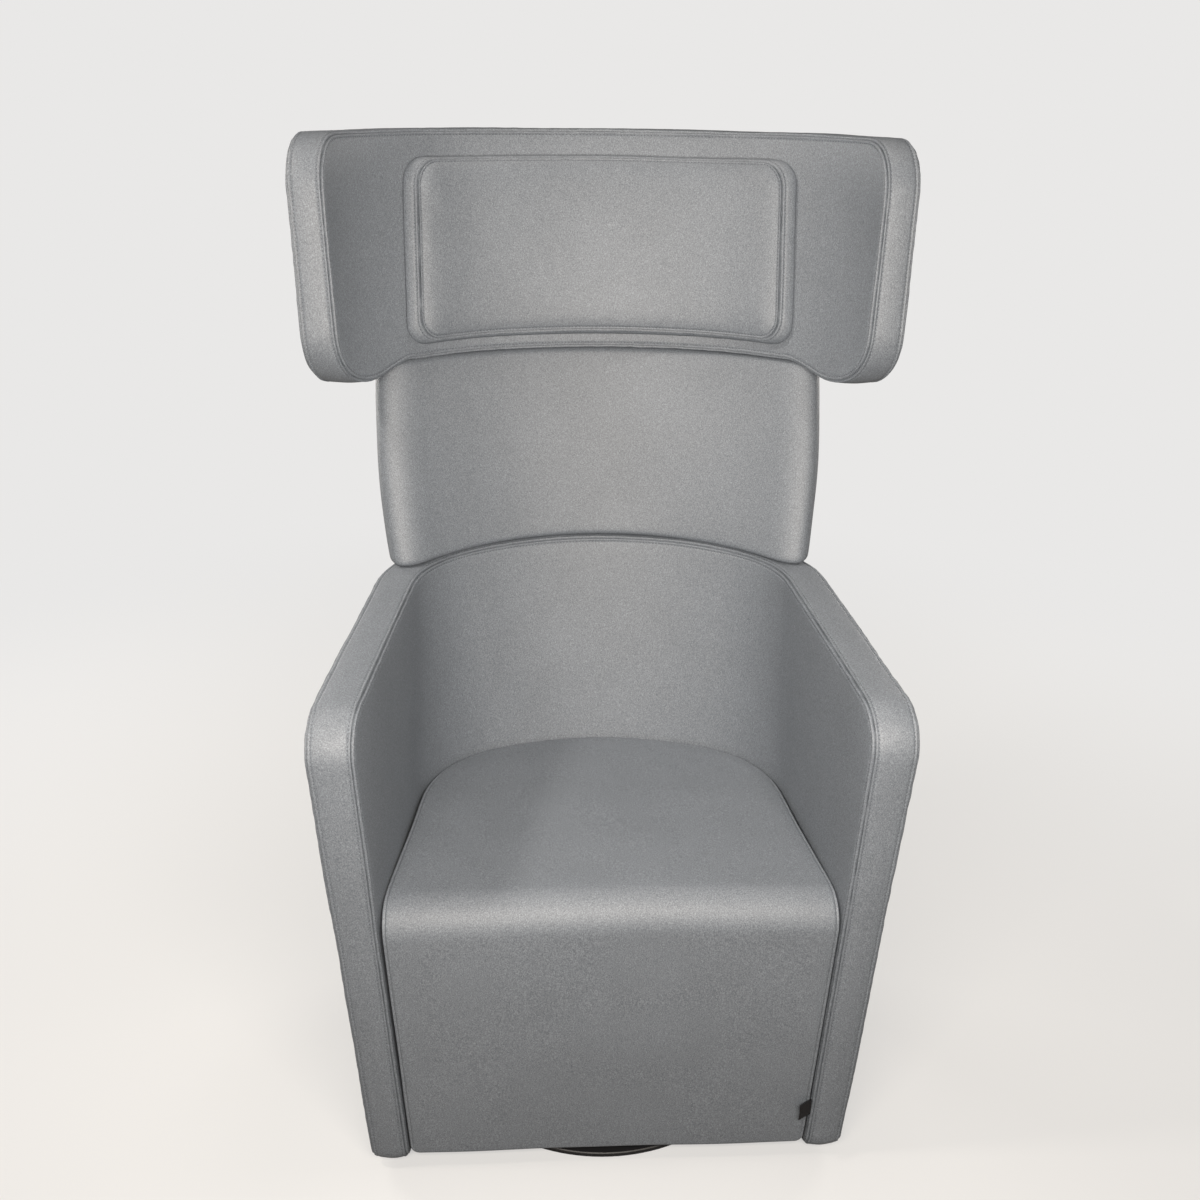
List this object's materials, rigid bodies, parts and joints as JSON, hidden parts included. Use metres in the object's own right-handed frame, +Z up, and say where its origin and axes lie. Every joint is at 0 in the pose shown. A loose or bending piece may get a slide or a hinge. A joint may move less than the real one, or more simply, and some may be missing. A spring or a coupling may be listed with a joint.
{
  "type": "high back lounge chair",
  "caption": "Upholstered high back lounge chair with enclosing arms, a middle back panel, a wrap-round head-height wing with a head cushion, and a round swivel base.",
  "frame": {"origin": "on the floor, on the axis of the swivel", "axes": "+Z up along the swivel axis, -Y towards the front of the seat, +X to the right of someone who looks at the chair from the front"},
  "size_m": [0.8134, 0.7166, 1.34],
  "materials": {
    "upholstery": "cool light grey melange wool felt",
    "foam": null,
    "plywood": "birch and beech plywood, uncoated",
    "webbing": "elastic woven webbing",
    "black_cloth": "plain black technical cloth",
    "tag_ribbon": "blank black woven ribbon",
    "black_disc": "fine textured black powder coat",
    "upright_steel": "black powder coat",
    "bearing_steel": "zinc plated pressed steel",
    "zinc_fasteners": "bright zinc",
    "ball_steel": "polished bearing steel",
    "cage_plastic": "natural nylon",
    "rubber_pad": "matt black anti-slip sheet"
  },
  "bodies": {
    "base": {"floor_pad": "rubber_pad", "base_disc": "black_disc", "lower_ring": "bearing_steel", "lower_ring_screws": "zinc_fasteners"},
    "bearing_cage": {"ball_cage": "cage_plastic", "bearing_balls": "ball_steel"},
    "chair": {"bottom_board": "plywood", "corner_blocks": "plywood", "dust_cover": "black_cloth", "front_board": "plywood", "head_cushion_board": "plywood", "head_cushion_cover": "upholstery", "head_cushion_foam": "foam", "hook_and_loop": "black_cloth", "left_rail": "plywood", "left_upright": "upright_steel", "lower_shell_edge_strip": "upholstery", "lower_shell_foam": "foam", "lower_shell_inner_cover": "upholstery", "lower_shell_outer_cover": "upholstery", "lower_shell_ply": "plywood", "middle_panel_cover": "upholstery", "middle_panel_foam": "foam", "middle_panel_ply": "plywood", "rear_rail": "plywood", "rear_spacer_block": "plywood", "right_rail": "plywood", "right_upright": "upright_steel", "seam_tag": "tag_ribbon", "seat_cover": "upholstery", "seat_foam": "foam", "seat_panel": "plywood", "tee_nuts": "zinc_fasteners", "top_plate": "bearing_steel", "top_plate_bolts": "zinc_fasteners", "top_plate_nuts": "zinc_fasteners", "upper_ring": "bearing_steel", "upper_ring_screws": "zinc_fasteners", "upright_bolts": "zinc_fasteners", "webbing_crosswise": "webbing", "webbing_lengthwise": "webbing", "wing_edge_strip": "upholstery", "wing_foam": "foam", "wing_inner_cover": "upholstery", "wing_outer_cover": "upholstery", "wing_ply": "plywood"}
  },
  "joints": [
    {"name": "seat_swivel", "type": "hinge", "parent": "base", "child": "chair", "pos_m": [0, 0, 0.017], "axis": [0, 0, 1], "continuous": true},
    {"name": "cage_turn", "type": "hinge", "parent": "base", "child": "bearing_cage", "pos_m": [0, 0, 0.017], "axis": [0, 0, 1], "continuous": true}
  ],
  "couplings": [
    {"joint": "cage_turn", "follows": "seat_swivel", "ratio": 0.5}
  ]
}
